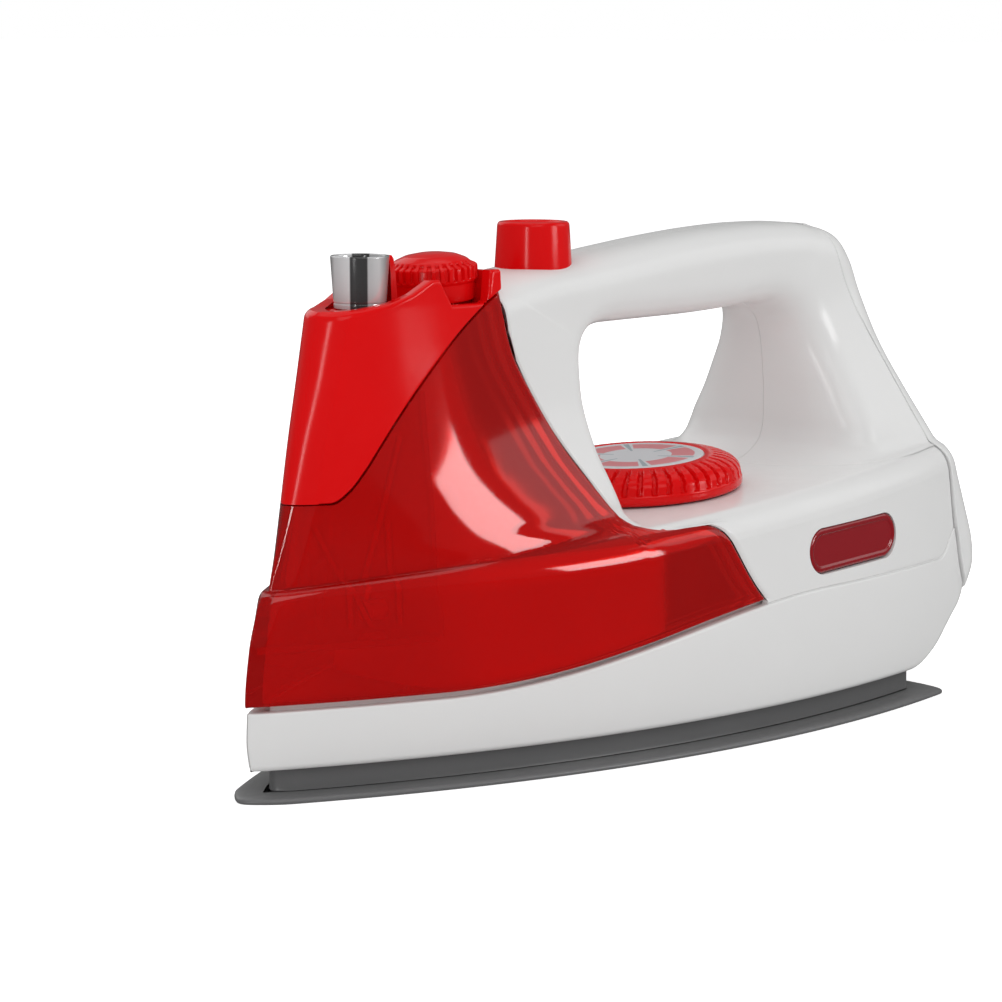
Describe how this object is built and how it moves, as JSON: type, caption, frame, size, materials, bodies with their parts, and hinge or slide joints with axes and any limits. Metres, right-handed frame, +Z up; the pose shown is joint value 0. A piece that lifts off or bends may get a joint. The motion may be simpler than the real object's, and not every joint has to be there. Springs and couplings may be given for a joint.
{
  "type": "toy steam iron",
  "caption": "Child's pretend steam iron with a closed grip, a see-through water tank, a spray button, a turning dial and a twist-off filler cap.",
  "frame": {"origin": "middle of the bounding box, on the flat underside of the sole", "axes": "+X from the nose to the heel, +Y to the far side, +Z up from the sole to the grip"},
  "size_m": [0.2286, 0.094, 0.1178],
  "materials": {
    "white_shell": "gloss",
    "gloss_red": "gloss",
    "clear_red": "see-through gloss",
    "sole_grey": "satin",
    "plated": "bright plated",
    "dark_inner": "satin",
    "white_inner": "satin",
    "seal_rubber": "matt",
    "steel": "plain",
    "tube_clear": "see-through",
    "pale_disc": "satin",
    "lamp_red": "see-through gloss",
    "board_green": "satin",
    "cell_steel": "wrapped"
  },
  "bodies": {
    "iron": {"soleplate": "sole_grey", "skirt_left": "white_shell", "skirt_right": "white_shell", "housing_left": "white_shell", "housing_right": "white_shell", "rear_cover": "white_shell", "water_tank": "clear_red", "tank_core": "white_shell", "tank_back": "clear_red", "tank_floor": "clear_red", "nose_cap": "gloss_red", "nozzle_sleeve": "plated", "nozzle_insert": "dark_inner", "filler_neck": "clear_red", "filler_seal": "seal_rubber", "button_guide": "white_inner", "button_spring": "steel", "pump_cylinder": "white_inner", "spray_hose": "tube_clear", "dip_tube": "tube_clear", "dial_bush": "white_inner", "lamp_window_left": "lamp_red", "lamp_window_right": "lamp_red", "circuit_board": "board_green", "lamp_left": "lamp_red", "lamp_right": "lamp_red", "battery_box": "dark_inner", "battery_lower": "cell_steel", "battery_upper": "cell_steel", "contact_left": "steel", "contact_right": "steel", "battery_door": "white_shell", "door_screw": "steel", "housing_screw_1": "steel", "housing_screw_2": "steel", "housing_screw_3": "steel", "housing_screw_4": "steel", "sole_screw_1": "steel", "sole_screw_2": "steel", "sole_screw_3": "steel", "sole_screw_4": "steel"},
    "button": {"spray_button": "gloss_red", "pump_plunger": "white_inner"},
    "dial_knob": {"dial": "gloss_red", "dial_disc": "pale_disc", "dial_screw": "steel"},
    "filler_lid": {"filler_cap": "gloss_red"}
  },
  "joints": [
    {"name": "button_press", "type": "slide", "parent": "iron", "child": "button", "axis": [0, 0, -1], "range_m": [0, 0.004], "stiffness_N_per_m": 300, "springref_m": -0.001, "deforming": ["button_spring"]},
    {"name": "dial_turn", "type": "hinge", "parent": "iron", "child": "dial_knob", "pos_m": [0.01751, 0, 0.05322], "axis": [-0.0748, 0, 0.9972], "range_deg": [-150, 150]},
    {"name": "filler_twist", "type": "hinge", "parent": "iron", "child": "filler_lid", "pos_m": [-0.0539, 0, 0.1018], "axis": [-0.0748, 0, 0.9972], "range_deg": [0, 90]}
  ]
}
